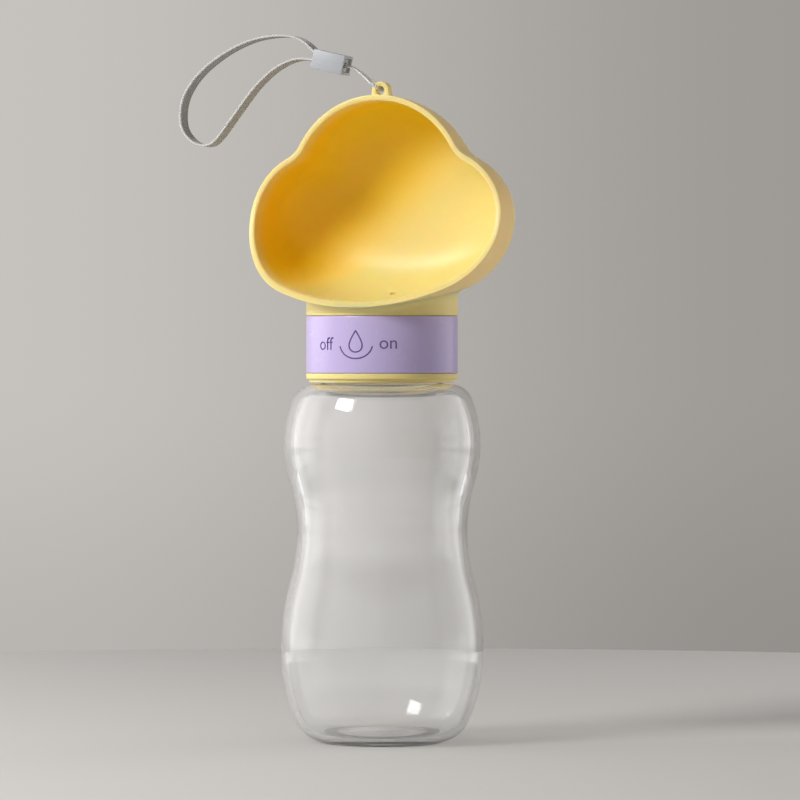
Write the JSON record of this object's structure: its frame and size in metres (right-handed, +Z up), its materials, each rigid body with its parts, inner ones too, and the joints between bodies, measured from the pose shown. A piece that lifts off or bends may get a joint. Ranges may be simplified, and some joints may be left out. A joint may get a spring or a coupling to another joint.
{
  "type": "dog travel water bottle",
  "caption": "Hourglass travel water bottle with a turning on-off ring, a three-lobed drinking scoop on top of it and a woven wrist strap.",
  "frame": {"origin": "centre of the bottle's base on the surface it stands on", "axes": "+Z up along the bottle's axis, the scoop's mouth and the ring's middle mark face -Y"},
  "size_m": [0.1267, 0.0736, 0.2574],
  "materials": {
    "clear_bottle": "clear, polished",
    "white_silicone": "matte",
    "yellow_plastic": "satin gloss",
    "seal_rubber": "matte",
    "screw_steel": "bright",
    "purple_plastic": "satin",
    "white_plastic": "satin",
    "cord_white": "smooth cord",
    "clamp_grey": "satin",
    "webbing_grey": "woven"
  },
  "bodies": {
    "bottle": {"bottle": "clear_bottle"},
    "gasket_carrier": {"neck_gasket": "white_silicone"},
    "head": {"screw_cap": "yellow_plastic", "lower_port_seal": "seal_rubber", "post_seal": "seal_rubber", "centre_screw": "screw_steel", "screw_washer": "screw_steel", "barrel_o_ring": "seal_rubber", "upper_port_seal": "seal_rubber", "seat_plate": "white_plastic", "collar_o_ring": "seal_rubber", "spout_seal": "seal_rubber", "bowl": "yellow_plastic"},
    "ring": {"switch_ring": "purple_plastic", "valve_rotor": "white_plastic"},
    "strap": {"strap_cord": "cord_white", "strap_clamp_front": "clamp_grey", "strap_clamp_back": "clamp_grey", "strap_clamp_pin": "screw_steel", "strap_webbing": "webbing_grey"}
  },
  "joints": [
    {"name": "head_rise", "type": "slide", "parent": "bottle", "child": "gasket_carrier", "axis": [0, 0, 1], "range_m": [0, 0.0125]},
    {"name": "head_unscrew", "type": "hinge", "parent": "gasket_carrier", "child": "head", "pos_m": [0, 0, 0.14], "axis": [0, 0, 1], "range_deg": [0, 540]},
    {"name": "ring_turn", "type": "hinge", "parent": "head", "child": "ring", "pos_m": [0, 0, 0.1443], "axis": [0, 0, 1], "range_deg": [-26, 26]},
    {"name": "strap_swing", "type": "hinge", "parent": "head", "child": "strap", "pos_m": [0, 0, 0.2364], "axis": [0, 1, 0], "range_deg": [0, 110]}
  ],
  "couplings": [
    {"joint": "head_rise", "follows": "head_unscrew", "m_per_rad": 0.0012732}
  ]
}
